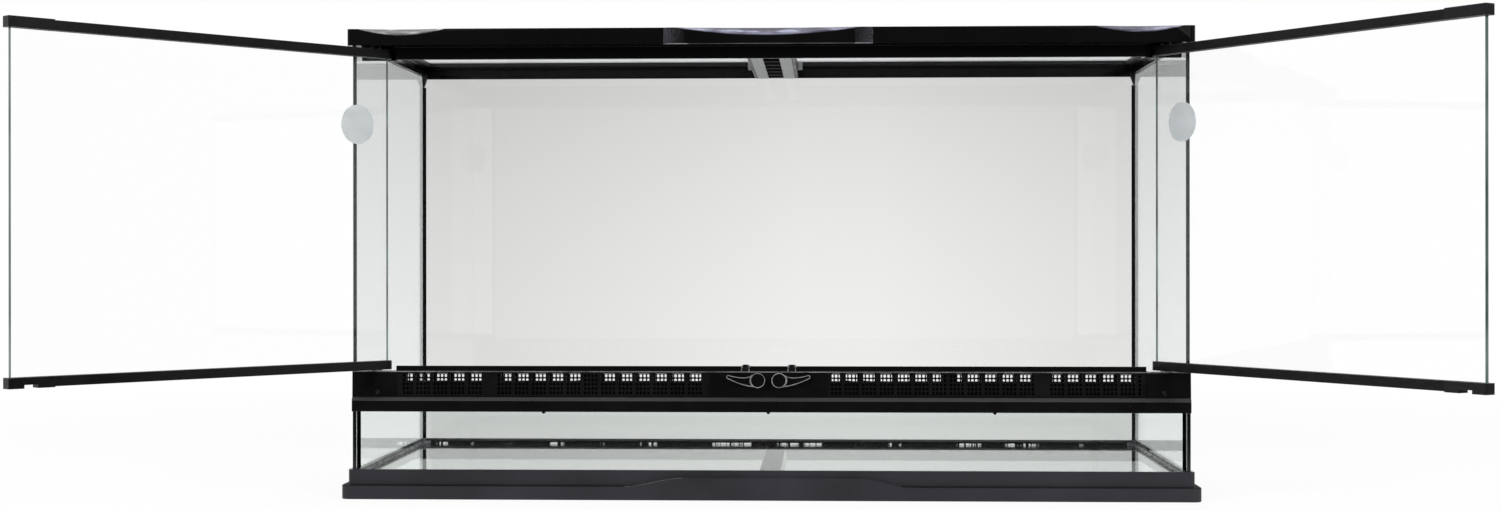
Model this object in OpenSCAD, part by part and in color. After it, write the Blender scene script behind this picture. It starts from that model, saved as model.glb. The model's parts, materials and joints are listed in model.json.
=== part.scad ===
// Front-opening reptile terrarium: a glass tank in a moulded base and top frame, two swinging
// glass doors over a vent strip with two turning latches, and two lift-out mesh screens.
// X runs to the right, Y to the back and Z up. The origin is the middle of the base's underside.

/* [Tank] */
// Width over the side panes
tank_w = 900; // [760:10:1200]
// Depth over the panes
tank_d = 370; // [300:5:600]
// Height of the whole terrarium
tank_h = 506; // [430:1:700]
// Thickness of the upright panes
glass_t = 4; // [3:0.5:5]
// Thickness of the floor pane
floor_t = 5; // [4:0.5:6]
// Height of the floor pane's upper face
floor_z = 25; // [24:1:27]
// Leg of the silicone fillets
seam_r = 4; // [2:0.5:6]
// Gap left for the adhesive between panes and mouldings
bond = 0.2; // [0.1:0.1:0.4]

/* [Base frame] */
// Height of the proud lower band
band_h = 15; // [12:1:18]
// Height of the whole base frame
base_h = 31.5; // [29:0.5:40]
// How far the lower band stands out from the glass
band_out = 10.8; // [8:0.1:14]
// How far the collar stands out from the glass
collar_out = 4.2; // [1.5:0.1:6]
// Wall of the lower band
base_wall = 3; // [2:0.5:4]
// Thickness of the shelf under the panes
shelf_t = 3; // [2:0.5:4]
// Width of the shelf that carries the floor pane
shelf_w = 14; // [10:1:20]
// Corner radius of the lower band
base_r = 9; // [5:1:15]
// Width of the bar across the middle of the base
cross_w = 24; // [16:1:40]
// Height of the wave in the band's upper edge at the middle of the front
wave_h = 9; // [5:1:12]
// Half width of the flat crest of the wave
wave_crest = 92; // [60:1:120]
// Half width of the foot of the wave
wave_foot = 155; // [130:1:200]

/* [Top frame] */
// Height of the rim
rim_h = 17.8; // [15:0.1:24]
// How far the rim stands out from the glass at the sides and the back
rim_out = 3.4; // [1.5:0.1:5]
// How far the rim stands out over the doors at the front
brow_out = 12; // [11:0.5:16]
// Corner radius of the rim
rim_r = 4; // [2:0.5:8]
// Wall of the rim behind the panes
skirt_t = 2.2; // [1.5:0.1:3]
// How far the skirt in front of the back pane hangs below the rim
skirt_drop = 4.2; // [2:0.1:10]
// How far the stop bar behind the doors hangs below the rim
stop_drop = 13.4; // [8:0.1:16]
// Thickness of the stop bar and of the vent strip's lip
stop_t = 3; // [2:0.5:4]
// Width of the ledge that carries the screens
ledge_w = 6; // [4:0.5:9]
// Thickness of that ledge
ledge_t = 2.5; // [2:0.5:4]
// Depth of the ledge's upper face below the rim's top
ledge_drop = 7; // [7:0.5:9]
// Depth of the panes' upper edges below the rim's top
pane_drop = 6; // [5:0.5:9]
// Half width of the proud block in the middle of the front
block_half = 112; // [105:1:130]
// How far that block stands out
block_out = 1; // [0.5:0.5:2]
// Length of the rounded ramps at the block's ends
block_ramp = 26; // [5:1:40]
// Width of the finger scoop in the middle
scoop_mid_w = 203; // [150:1:205]
// Depth of the finger scoop in the middle
scoop_mid_d = 8.5; // [5:0.5:10]
// Width of the finger scoops at the sides
scoop_side_w = 94; // [60:1:100]
// Depth of the finger scoops at the sides
scoop_side_d = 7; // [4:0.5:9]
// Distance of the side scoops' middle from the side of the tank
scoop_side_in = 55.5; // [54:0.5:70]
// Width of the corner gussets at the top
gusset_w = 7.5; // [5:0.5:10]
// Width of the corner gussets at the bottom
gusset_tip = 2.5; // [1:0.5:4]
// Height of the corner gussets
gusset_h = 14; // [10:1:24]

/* [Centre brace] */
// Width of the brace's underside
brace_w = 54; // [48:1:70]
// Width of the web between the screens
web_w = 16; // [10:1:20]
// Width of the two grip strips
strip_w = 13.4; // [8:0.2:15]
// Gap between the two grip strips
strip_gap = 18.8; // [12:0.2:20]
// Thickness of the grip strips
strip_t = 1; // [0.5:0.5:2]
// Depth of the ribbed recess between the grip strips
recess_d = 6; // [3:0.5:9]
// Pitch of the ribs across the recess
rib_pitch = 43; // [25:1:60]
// Thickness of the ribs
rib_t = 4; // [2:0.5:6]
// Size of the clips at the brace's sides
clip_size = [6, 14, 10]; // [4:1:16]
// Distance of the clips behind the middle of the tank
clip_y = 115; // [0:5:120]

/* [Vent strip] */
// Height of the vent strip's lower edge
strip_z0 = 94; // [70:1:110]
// Height of the vent strip
strip_h = 43.5; // [40:0.5:60]
// How far the vent face stands out from the panes' front edges
vent_out = 2; // [1.5:0.5:3]
// How far the lower band stands out from the panes' front edges
foot_out = 5; // [4:0.5:7]
// Height of the lower band
foot_h = 12; // [10:1:16]
// Height of the bevel over the lower band
bevel_h = 4; // [2:0.5:6]
// Thickness of the vent strip's ledge
shelf_top_t = 2.2; // [1.6:0.1:3]
// Height of the lip behind the doors over the ledge
lip_h = 5.2; // [3:0.1:7]
// Thickness of the leg behind the low front pane
leg_t = 2; // [1.5:0.5:3]
// Distance of the low front pane behind the upright panes' front edges
low_pane_in = 0.8; // [0.5:0.1:1.5]
// Spacing of the three nubs on the lower band
nub_pitch = 241.6; // [200:0.1:260]
// Radius of the nubs
nub_r = 1.8; // [1:0.1:2.5]
// How far the nubs stand out from the panes' front edges
nub_out = 7; // [7:0.5:9]
// Half width of the solid block that carries the latches
latch_block_half = 27; // [25:1:40]
// Distance of the perforated fields from the middle
field_x0 = 65; // [60:1:90]
// Distance of the perforated fields from the sides of the tank
field_side = 50; // [49:1:70]
// Pitch of the air windows
window_pitch = 18.7; // [16:0.1:24]
// Width of one air window
window_w = 12; // [8:0.1:14]
// Height of the air windows
window_h = 8.6; // [5:0.1:12]
// How far the row of windows is shifted to the left
window_shift = 4.3; // [0:0.1:9]
// How much nearer to the middle the windows beyond the outer posts stand
window_step = 5.2; // [0:0.1:6]
// Distance of the inner posts between the windows from the middle
post_in_x = 193.5; // [150:0.5:220]
// Distance of the outer posts between the windows from the middle
post_out_x = 296; // [260:0.5:320]
// Width of the posts
post_w = 17; // [8:0.5:24]
// Distance of the last windows from the fields' outer ends
window_end = 8; // [4:0.5:12]
// Width of the grille's slot in front of a window
slot_w = 14.8; // [14:0.1:15.6]
// Thickness of the grille plates
grille_t = 1.4; // [1:0.1:2]

/* [Doors] */
// Thickness of the door rails
rail_t = 10; // [8:0.5:11]
// Height of the lower rails
low_rail_h = 9.7; // [7:0.1:12]
// Height of the upper rails
top_rail_h = 9.8; // [8:0.1:14]
// Depth of the glass in the rails
groove_d = 4; // [3:0.5:5]
// Gap between the lower rails and the vent strip
door_gap_low = 1.2; // [1:0.1:2]
// Gap between the upper rails and the rim
door_gap_top = 2.6; // [1.5:0.1:3.5]
// Gap between the doors' outer ends and the side panes
door_gap_side = 3.6; // [1:0.1:5]
// Gap between the two closed doors
door_gap_mid = 5; // [1:0.1:6]
// Distance of the hinge axes from the outer faces of the side panes
hinge_in = 26; // [24:0.5:30]
// Distance of the hinge axes behind the panes' front edges
hinge_back = 3; // [2:0.5:4]
// Radius of the hinge pins
pin_r = 2.5; // [2:0.1:3]
// Running clearance of pins and shafts
run_gap = 0.05; // [0.02:0.01:0.1]
// Radius of the hinge bushes
bush_r = 4; // [3.6:0.1:4.4]
// Length of the hinge bushes
bush_l = 9.5; // [6:0.5:11]
// Radius of the bushes' collars
collar_r = 5.5; // [4.5:0.5:6]
// Inset of the door glass from the rails' hinge ends
glass_in = 5; // [3:0.5:10]
// Inset of the door glass from the rails' free ends
glass_free_in = 3.5; // [3:0.5:10]
// Length of the catch clips on the rails' free ends
catch_l = 46.5; // [36:0.5:60]
// Thickness of the catch clips
catch_t = 0.8; // [0.6:0.1:0.9]
// Diameter of the blank discs on the door glass
disc_d = 42; // [30:1:60]
// Distance of the discs' middle from the hinge axes
disc_x = 24.5; // [20:0.5:60]
// Distance of the discs' middle below the upper rails
disc_drop = 72.6; // [40:0.1:120]
// Opening angle at which the left door stands
left_open = 131.3; // [0:0.1:150]
// Opening angle at which the right door stands
right_open = 122.7; // [0:0.1:150]

/* [Catches and latches] */
// Distance of the catches from the middle
catch_x = 25; // [20:1:30]
// Width of the catches
catch_w = 9; // [6:0.5:12]
// Height of the catches' toes over the ledge
toe_h = 3; // [2:0.5:3.5]
// Thickness of the catches' fins behind the doors
fin_t = 0.6; // [0.4:0.1:0.8]
// How far the catches reach over the lip
fin_rise = 1.7; // [1:0.1:2]
// Clearance of the notch round a catch
notch_gap = 2.5; // [2:0.5:4]
// Distance of the latch axes from the middle
latch_x = 11.4; // [10:0.1:14]
// Depth of the latch axes below the ledge
latch_drop = 9.1; // [9:0.1:12]
// Radius of the latch heads
head_r = 8; // [6:0.5:9]
// Length of the latch levers from axis to tip
lever_l = 31.4; // [24:0.2:40]
// Rise of the lever's tip over the axis
lever_rise = 3.6; // [0:0.2:6]
// Radius of the lever's tip
tip_r = 2.2; // [1.5:0.1:3]
// Thickness of the latch heads
head_t = 5.6; // [4:0.2:7]
// Thickness of the levers
lever_t = 3.2; // [2:0.2:4]
// Radius of the latch shafts
shaft_r = 2.5; // [2:0.1:3]

/* [Screens] */
// Width of the screens' frame bars
bar_w = 10; // [8:0.5:16]
// Height of the screens' frame bars
bar_h = 6.3; // [6:0.1:6.8]
// Outer wall of the frame bars
bar_wall = 3; // [2:0.5:4]
// Thickness of the frame bars under the mesh
bar_floor = 4.2; // [1:0.1:4.4]
// Thickness of the mesh
mesh_t = 0.6; // [0.4:0.1:1]
// Openings of the mesh from side to side
mesh_cols = 12; // [6:1:12]
// Openings of the mesh from front to back
mesh_rows = 10; // [5:1:12]
// Width of the mesh's strands
strand_w = 4; // [1:0.5:8]
// Width of the rubber spline on the mesh
spline_w = 3; // [2:0.2:4]
// Play of the screens in the rim
screen_gap = 0.4; // [0.3:0.1:1]

/* [Hidden] */
$fn = 64;
eps = 0.01;

frame_black = "#26262a";
satin_black = "#1b1b1d";
glass_tint = [0.82, 0.92, 0.90, 0.35];
seal_black = "#121214";
strip_grey = "#cfd1d2";
clip_grey = "#9a9c9e";
steel = "#b9bcc0";
mesh_steel = "#a9adb1";
disc_grey = "#c8ced2";

side_x = tank_w / 2;
front_y = -tank_d / 2;
back_y = tank_d / 2;
in_x = side_x - glass_t;
in_back = back_y - glass_t;
low_pane_y = front_y + low_pane_in;
in_front = low_pane_y + glass_t;

pane_z0 = band_h + 1;
pane_z1 = tank_h - pane_drop;
floor_z0 = floor_z - floor_t;
shelf_z = band_h - shelf_t;

rim_z0 = tank_h - rim_h;
ledge_z = tank_h - ledge_drop;
rim_front = front_y - brow_out;
rim_back = back_y + rim_out;
block_step = 0.2;
well_x = in_x - bond - skirt_t;
well_back = in_back - bond - skirt_t;

strip_z1 = strip_z0 + strip_h;
vent_y = front_y - vent_out;
foot_y = front_y - foot_out;
groove_z = strip_z0 + foot_h + bevel_h;
chamber_floor = 2;
chamber_z0 = groove_z + chamber_floor;
chamber_z1 = strip_z1 - shelf_top_t;
field_x1 = side_x - field_side;
window_n = ceil(field_x1 / window_pitch);
field_edge = 3;
clear_runs = [
    [field_x0 + field_edge, post_in_x - post_w / 2], [post_in_x + post_w / 2, post_out_x - post_w / 2],
    [post_out_x + post_w / 2, field_x1 - window_end]
];

hinge_x = side_x - hinge_in;
hinge_y = front_y + hinge_back;
tail = in_x - door_gap_side - hinge_x;
reach = hinge_x - door_gap_mid / 2;
door_z0 = strip_z1 + door_gap_low;
door_z1 = rim_z0 - door_gap_top;
pane_low = door_z0 + low_rail_h - groove_d;
pane_high = door_z1 - top_rail_h + groove_d;
pin_end = 1;
pin_roof = 0.6;
low_pin_top = pane_low - bond - pin_roof;
top_pin_foot = pane_high + bond + pin_roof;
collar_gap = 0.3;
grip_gap = 0.02;

stop_gap = 1.2;
stop_y = hinge_y + rail_t / 2 + catch_t + stop_gap;
well_front = stop_y + stop_t;
sweep_gap = 1;
stop_half = hinge_x - tail - sweep_gap;
pocket_y = hinge_y + tail + sweep_gap + 0.5;

latch_z = strip_z1 - latch_drop;
knob_back = vent_y - 0.3;
lever_back = hinge_y - rail_t / 2 - catch_t - 1;
washer_t = 1.5;
shaft_in = 3;
shaft_end = 0.5;
notch_half = catch_w / 2 + notch_gap;
notch_x = hinge_x - catch_x;
toe_front = 3;
toe_z = strip_z1 + toe_h;

module on_both_sides() {
    children();
    mirror([1, 0, 0]) children();
}

// Runs a section drawn in Y and Z along X, evenly on both sides of x = 0.
module run_x(length) rotate([90, 0, 90]) translate([0, 0, -length / 2]) linear_extrude(length) children();

module box(low, high) translate(low) cube(high - low);

module rounded_slab(w, y0, y1, z0, z1, r)
    translate([0, (y0 + y1) / 2, z0]) linear_extrude(z1 - z0) {
        square([w - 2 * r, y1 - y0], center = true);
        square([w, y1 - y0 - 2 * r], center = true);
        for (x = [-1, 1], y = [-1, 1])
            translate([x * (w / 2 - r), y * ((y1 - y0) / 2 - r)]) circle(r);
    }

function mix(a, b, t) = a + (b - a) * t;
function bow(a, b, c, t) = mix(mix(a, b, t), mix(b, c, t), t);
function ease(t) = (1 - cos(180 * t)) / 2;

// ---- base and glass ----

// Raised crest in the middle of the band's front, a smooth rise on either side.
module wave() {
    steps = 10;
    rise = [for (i = [0:steps]) [mix(-wave_foot, -wave_crest, i / steps), wave_h * ease(i / steps)]];
    fall = [for (i = [0:steps]) [mix(wave_crest, wave_foot, i / steps), wave_h * ease(1 - i / steps)]];
    translate([0, front_y - collar_out + 1, band_h - eps]) rotate([90, 0, 0])
        linear_extrude(band_out - collar_out + 1)
            polygon(concat([[-wave_foot, -1]], rise, fall, [[wave_foot, -1]]));
}

module base_frame() color(frame_black) {
    band_w = tank_w + 2 * band_out;
    bottom_y0 = front_y - band_out;
    bottom_y1 = back_y + band_out;
    difference() {
        union() {
            rounded_slab(band_w, bottom_y0, bottom_y1, 0, band_h, base_r);
            rounded_slab(tank_w + 2 * collar_out, front_y - collar_out, back_y + collar_out,
                0, base_h, collar_out + 1);
            wave();
        }
        rounded_slab(band_w - 2 * base_wall, bottom_y0 + base_wall, bottom_y1 - base_wall,
            -1, shelf_z, base_r - base_wall);
        box([-side_x - bond, front_y - bond, pane_z0], [side_x + bond, back_y + bond, base_h + wave_h + 1]);
        box([-side_x + shelf_w, front_y + shelf_w, shelf_z - 1],
            [side_x - shelf_w, back_y - shelf_w, pane_z0 + 1]);
    }
    difference() {
        box([-in_x + 1, in_front + 1, shelf_z + 1], [in_x - 1, in_back - 1, floor_z0]);
        box([-side_x + shelf_w, front_y + shelf_w, shelf_z],
            [side_x - shelf_w, back_y - shelf_w, floor_z0 + 1]);
    }
    box([-cross_w / 2, bottom_y0 + base_wall - eps, 0],
        [cross_w / 2, bottom_y1 - base_wall + eps, shelf_z + 1]);
    box([-cross_w / 2, in_front + 2, shelf_z], [cross_w / 2, in_back - 2, floor_z0]);
}

module floor_glass() color(glass_tint)
    box([-in_x + bond, in_front + bond, floor_z0], [in_x - bond, in_back - bond, floor_z]);

module back_glass() color(glass_tint)
    box([-in_x + bond, in_back, pane_z0], [in_x - bond, back_y, pane_z1]);

module side_glass() color(glass_tint)
    box([in_x, front_y, pane_z0], [side_x, back_y, pane_z1]);

module side_glass_left() mirror([1, 0, 0]) side_glass();

module side_glass_right() side_glass();

module front_glass() color(glass_tint)
    box([-in_x + bond, low_pane_y, pane_z0], [in_x - bond, in_front, groove_z - bond]);

seam_foot = 0.5;

// Hollow fillet of silicone in the corner at the origin, along +X and +Y.
module fillet() difference() {
    square(seam_r);
    translate([seam_r, seam_r]) circle(seam_r - seam_foot);
}

module silicone_back() color(seal_black) on_both_sides()
    translate([-in_x, in_back, floor_z + seam_r]) mirror([0, 1, 0])
        linear_extrude(rim_z0 - gusset_h - bond - floor_z - seam_r) fillet();

module silicone_floor() color(seal_black) {
    run_x(2 * in_x) translate([in_front, floor_z]) fillet();
    run_x(2 * in_x) translate([in_back, floor_z]) mirror([1, 0]) fillet();
    on_both_sides() translate([-in_x, in_back, floor_z]) rotate([90, 0, 0])
        linear_extrude(in_back - in_front) fillet();
}

module silicone_front() color(seal_black) on_both_sides()
    translate([-in_x, in_front, floor_z + seam_r])
        linear_extrude(strip_z0 - floor_z - seam_r - bond) fillet();

// ---- vent strip ----

// The part of the strip in front of the side panes, as Y and Z.
module strip_face() polygon([
    [foot_y, strip_z0], [foot_y, strip_z0 + foot_h], [vent_y, strip_z0 + foot_h + bevel_h],
    [vent_y, strip_z1], [front_y - bond, strip_z1], [front_y - bond, strip_z0]
]);

// The whole section between the side panes: face, ledge, lip, and the slot for the low pane.
module strip_section() difference() {
    union() {
        strip_face();
        translate([front_y - bond, strip_z0]) square([in_front + bond + leg_t - front_y + bond, strip_h]);
        translate([front_y, groove_z]) square([well_front - front_y, strip_z1 - groove_z]);
        translate([stop_y, groove_z]) square([stop_t, strip_z1 + lip_h - groove_z]);
    }
    translate([low_pane_y - bond, strip_z0 - 1]) square([glass_t + 2 * bond, groove_z - strip_z0 + 1]);
    translate([in_front + bond + leg_t, strip_z0 - 1]) square([stop_t * 4, groove_z - strip_z0 + 1]);
    translate([low_pane_y - bond, chamber_z0])
        square([stop_y - low_pane_y + bond, chamber_z1 - chamber_z0]);
}

function window_at(k) = let (x = window_pitch * k - window_shift)
    abs(x) < post_out_x ? x : x - sign(x) * window_step;

// The air windows, cut short by the posts between them.
module windows(width, y0, y1, top) intersection() {
    for (k = [-window_n:window_n])
        box([window_at(k) - width / 2, y0, chamber_z1 - window_h], [window_at(k) + width / 2, y1, top]);
    on_both_sides() for (run = clear_runs)
        box([run[0], y0 - 1, chamber_z0], [run[1], y1 + 1, strip_z1]);
}

module vent_strip() color(frame_black) difference() {
    union() {
        run_x(tank_w) strip_face();
        run_x(2 * (in_x - bond)) strip_section();
        on_both_sides() box([field_x1 + 1, vent_y, groove_z], [in_x - bond, well_front, strip_z1]);
        box([-latch_block_half, vent_y, groove_z], [latch_block_half, well_front, strip_z1]);
        for (x = [-1, 0, 1]) translate([x * nub_pitch, front_y - 1, strip_z0]) rotate([90, 0, 0])
            cylinder(r = nub_r, h = nub_out - 1);
    }
    on_both_sides() {
        box([stop_half, front_y, strip_z1], [side_x, well_front + 1, strip_z1 + lip_h + 1]);
        translate([hinge_x, hinge_y, strip_z1 - bush_l - bond])
            cylinder(r = bush_r + run_gap, h = bush_l + 1);
        translate([latch_x, well_front + 1, latch_z]) rotate([90, 0, 0])
            cylinder(r = shaft_r + run_gap, h = well_front - vent_y + 2);
        box([field_x0, vent_y - 1, chamber_z0], [field_x1, low_pane_y, chamber_z1]);
    }
    windows(window_w, stop_y - 1, well_front + 1, chamber_z1);
}

grille_in = 0.4;
grille_y = vent_y + grille_in;

module vent_grille() color(satin_black) difference() {
    on_both_sides()
        box([field_x0 + bond, grille_y, chamber_z0 + bond],
            [field_x1 - bond, grille_y + grille_t, chamber_z1 - bond]);
    windows(slot_w, grille_y - 1, grille_y + grille_t + 1, chamber_z1 - 1);
}

cover_side = 3;
cover_z0 = groove_z + 1;
cover_h = 13;
cover_t = 0.8;
screw_in = 2;
screw_rise = 4;
screw_r = 2.6;
screw_h = 1.2;

module hinge_cover() color(satin_black)
    box([field_x1 + cover_side, vent_y - cover_t, cover_z0],
        [side_x - cover_side, vent_y, cover_z0 + cover_h]);

module hinge_cover_left() mirror([1, 0, 0]) hinge_cover();

module hinge_cover_right() hinge_cover();

module cover_screws() color(steel) on_both_sides()
    translate([hinge_x - screw_in, vent_y - cover_t, cover_z0 + screw_rise]) rotate([90, 0, 0])
        cylinder(r = screw_r, h = screw_h);

// A toe on the ledge that enters the door's notch, and a fin up over the lip behind it.
module door_catches() color(clip_grey) on_both_sides() translate([catch_x, 0, 0]) {
    box([-catch_w / 2, hinge_y - toe_front, strip_z1], [catch_w / 2, stop_y, toe_z]);
    box([-catch_w / 2, stop_y - fin_t, strip_z1], [catch_w / 2, stop_y, strip_z1 + lip_h + fin_rise]);
    box([-catch_w / 2, stop_y - eps, strip_z1 + lip_h],
        [catch_w / 2, well_front, strip_z1 + lip_h + fin_rise]);
}

// ---- hinges ----

// Its collar fills the gap to the rail but for a running clearance.
module bush(gap) difference() {
    union() {
        translate([0, 0, -bush_l]) cylinder(r = bush_r, h = bush_l);
        cylinder(r = collar_r, h = gap - collar_gap);
    }
    translate([0, 0, -bush_l - 1]) cylinder(r = pin_r + run_gap, h = bush_l + gap + 2);
}

module bottom_bushes() color(clip_grey) on_both_sides()
    translate([hinge_x, hinge_y, strip_z1]) bush(door_gap_low);

module top_bushes() color(clip_grey) on_both_sides()
    translate([hinge_x, hinge_y, rim_z0]) mirror([0, 0, 1]) bush(door_gap_top);

// ---- top frame ----

// A scoop with a slope of one to one, cut down into the top edge at the front face y.
module scoop(x, y, width, depth) {
    r = (width * width / 4 + depth * depth) / (2 * depth);
    translate([x, y - 1, tank_h - depth + r]) rotate([-90, 0, 0])
        cylinder(r1 = r + 1, r2 = r - depth - 1, h = depth + 2, $fn = 360);
}

// Walls behind each door's hinge end, clear of its sweep.
module hinge_pocket(z0, z1) {
    box([stop_half - stop_t, stop_y, z0], [stop_half, pocket_y + stop_t, z1]);
    box([stop_half - stop_t, pocket_y, z0], [in_x - bond, pocket_y + stop_t, z1]);
}

// The block in the middle of the front, from above. Its ends rise steeply and then flatten.
module block_outline() {
    steps = 8;
    left = [for (i = [0:steps]) let (t = i / steps)
        [block_ramp * t - block_half, rim_front - mix(block_step, block_out, t * (2 - t))]];
    right = [for (i = [steps:-1:0]) [-left[i][0], left[i][1]]];
    polygon(concat([[-block_half, rim_front + 1]], left, right, [[block_half, rim_front + 1]]));
}

module top_frame() color(satin_black) {
    rim_body();
    on_both_sides() hinge_pocket(rim_z0 - stop_drop, ledge_z - ledge_t + eps);
}

module rim_body() difference() {
    union() {
        rounded_slab(tank_w + 2 * rim_out, rim_front, rim_back, rim_z0, tank_h, rim_r);
        translate([0, 0, rim_z0]) linear_extrude(rim_h) block_outline();
        box([-stop_half, stop_y, rim_z0 - stop_drop], [stop_half, well_front, rim_z0 + 1]);
        box([-in_x + bond, well_back, rim_z0 - skirt_drop], [in_x - bond, well_back + skirt_t, rim_z0 + 1]);
    }
    box([-well_x + ledge_w, well_front + ledge_w, rim_z0 - stop_drop],
        [well_x - ledge_w, well_back - ledge_w, tank_h + 1]);
    box([-well_x, well_front, ledge_z], [well_x, well_back, tank_h + 1]);
    box([-well_x, well_front, rim_z0 - stop_drop], [well_x, well_back, ledge_z - ledge_t]);
    on_both_sides() box([in_x - bond, front_y - bond, rim_z0 - stop_drop],
        [side_x + bond, back_y + bond, pane_z1 + bond]);
    box([-in_x, in_back - bond, rim_z0 - stop_drop], [in_x, back_y + bond, pane_z1 + bond]);
    scoop(0, rim_front - block_out, scoop_mid_w, scoop_mid_d);
    on_both_sides() {
        scoop(side_x - scoop_side_in, rim_front, scoop_side_w, scoop_side_d);
        translate([hinge_x, hinge_y, rim_z0 - 1]) cylinder(r = bush_r + run_gap, h = bush_l + 1 + bond);
    }
}

// One side of a gusset, from the bottom of its corner at the origin towards +X.
module gusset_side() polygon([[0, 0], [gusset_tip, 0], [gusset_w, gusset_h], [0, gusset_h]]);

module corner_gussets() color(satin_black) on_both_sides()
    translate([bond - in_x, well_back, rim_z0 - gusset_h]) intersection() {
        rotate([90, 0, 0]) linear_extrude(gusset_w) gusset_side();
        rotate([90, 0, 90]) linear_extrude(gusset_w) mirror([1, 0]) gusset_side();
    }

brace_y0 = well_front + ledge_w + bond;
brace_y1 = well_back - ledge_w - bond;
brace_z0 = rim_z0 - skirt_drop;

module centre_brace() color(satin_black) {
    difference() {
        box([-brace_w / 2, brace_y0, brace_z0], [brace_w / 2, brace_y1, ledge_z]);
        box([-strip_gap / 2, brace_y0 + rib_t, brace_z0 - 1],
            [strip_gap / 2, brace_y1 - rib_t, brace_z0 + recess_d]);
    }
    for (y = [brace_y0 + rib_pitch : rib_pitch : brace_y1 - rib_t])
        box([-strip_gap / 2 - eps, y - rib_t / 2, brace_z0],
            [strip_gap / 2 + eps, y + rib_t / 2, brace_z0 + recess_d + eps]);
    box([-web_w / 2, well_front + bond, ledge_z], [web_w / 2, well_back - bond, tank_h]);
}

module brace_strips() color(strip_grey) on_both_sides()
    box([strip_gap / 2, brace_y0 + 1, brace_z0 - strip_t],
        [strip_gap / 2 + strip_w, brace_y1 - 1, brace_z0]);

clip_sunk = 0.5;

module brace_clips() color(clip_grey) on_both_sides()
    translate([brace_w / 2, clip_y - clip_size[1] / 2, ledge_z - clip_size[2]])
        cube(clip_size - [0, 0, clip_sunk]);

// ---- doors ----
// A door is drawn closed, with its hinge axis at x = 0 and y = 0, its free end towards +X
// and its outer face towards -Y.

module set_door(angle) translate([-hinge_x, hinge_y, 0]) rotate([0, 0, -angle]) children();

module rail_outline() {
    r = rail_t / 2;
    translate([-tail + r, -r]) square([reach + tail - r, rail_t]);
    translate([-tail + r, 0]) circle(r);
}

module door_glass() color(glass_tint)
    box([-tail + glass_in, -glass_t / 2, pane_low], [reach - glass_free_in, glass_t / 2, pane_high]);

module glass_groove(z0, z1)
    box([-tail + glass_in - bond, -glass_t / 2 - bond, z0],
        [reach - glass_free_in + bond, glass_t / 2 + bond, z1]);

module pin_bore(z0, z1) translate([0, 0, z0]) cylinder(r = pin_r + grip_gap, h = z1 - z0);

module notch(top) box([notch_x - notch_half, -rail_t, door_z0 - catch_t - 1],
    [notch_x + notch_half, rail_t, top]);

notch_air = 0.8;
notch_z = toe_z + notch_air;

module door_top_rail() color(satin_black) difference() {
    translate([0, 0, door_z1 - top_rail_h]) linear_extrude(top_rail_h) rail_outline();
    glass_groove(door_z1 - top_rail_h - 1, pane_high + bond);
    pin_bore(top_pin_foot, door_z1 + 1);
}

module door_bottom_rail() color(satin_black) difference() {
    translate([0, 0, door_z0]) linear_extrude(low_rail_h) rail_outline();
    glass_groove(pane_low - bond, door_z0 + low_rail_h + 1);
    pin_bore(door_z0 - 1, low_pin_top);
    notch(notch_z);
}

// Saddle over a rail's free end: it covers the rail's outer edge and both its sides.
module saddle(z0, z1, rail_z0, rail_z1) difference() {
    box([reach - catch_l, -rail_t / 2 - catch_t, z0], [reach, rail_t / 2 + catch_t, z1]);
    box([reach - catch_l - 1, -rail_t / 2, rail_z0], [reach + 1, rail_t / 2, rail_z1]);
}

module door_clips() color(satin_black) {
    saddle(door_z1 - top_rail_h, door_z1 + catch_t, door_z1 - top_rail_h - 1, door_z1);
    difference() {
        saddle(door_z0 - catch_t, door_z0 + low_rail_h, door_z0, door_z0 + low_rail_h + 1);
        notch(notch_z);
    }
}

module door_pins() color(steel) {
    low_z0 = strip_z1 - bush_l + pin_end;
    top_z1 = rim_z0 + bush_l - pin_end;
    translate([0, 0, low_z0]) cylinder(r = pin_r, h = low_pin_top - low_z0);
    translate([0, 0, top_pin_foot]) cylinder(r = pin_r, h = top_z1 - top_pin_foot);
}

disc_t = 0.4;

module door_disc() color(disc_grey)
    translate([disc_x, -glass_t / 2, door_z1 - top_rail_h - disc_drop]) rotate([90, 0, 0])
        cylinder(d = disc_d, h = disc_t);

module left_door_glass() set_door(left_open) door_glass();
module left_door_top_rail() set_door(left_open) door_top_rail();
module left_door_bottom_rail() set_door(left_open) door_bottom_rail();
module left_door_clips() set_door(left_open) door_clips();
module left_door_pins() set_door(left_open) door_pins();
module left_door_disc() set_door(left_open) door_disc();

module right_door_glass() mirror([1, 0, 0]) set_door(right_open) door_glass();
module right_door_top_rail() mirror([1, 0, 0]) set_door(right_open) door_top_rail();
module right_door_bottom_rail() mirror([1, 0, 0]) set_door(right_open) door_bottom_rail();
module right_door_clips() mirror([1, 0, 0]) set_door(right_open) door_clips();
module right_door_pins() mirror([1, 0, 0]) set_door(right_open) door_pins();
module right_door_disc() mirror([1, 0, 0]) set_door(right_open) door_disc();

// ---- latches ----
// A latch is drawn for the right side, its axis along Y and its lever towards +X.

module set_latch() translate([latch_x, 0, latch_z]) children();

// Teardrop lever: its upper edge dips beside the head and its lower edge sweeps up to the tip.
module lever_outline() {
    steps = 10;
    upper = [for (i = [0:steps]) bow([head_r * 0.5, head_r * 0.86], [lever_l * 0.38, 0],
        [lever_l, lever_rise + tip_r], i / steps)];
    lower = [for (i = [steps:-1:0]) bow([head_r * 0.35, -head_r * 0.93], [lever_l * 0.6, -head_r * 0.7],
        [lever_l + tip_r * 0.8, lever_rise - tip_r * 0.6], i / steps)];
    polygon(concat([[0, 0]], upper, lower));
    translate([lever_l, lever_rise]) circle(tip_r);
}

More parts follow.
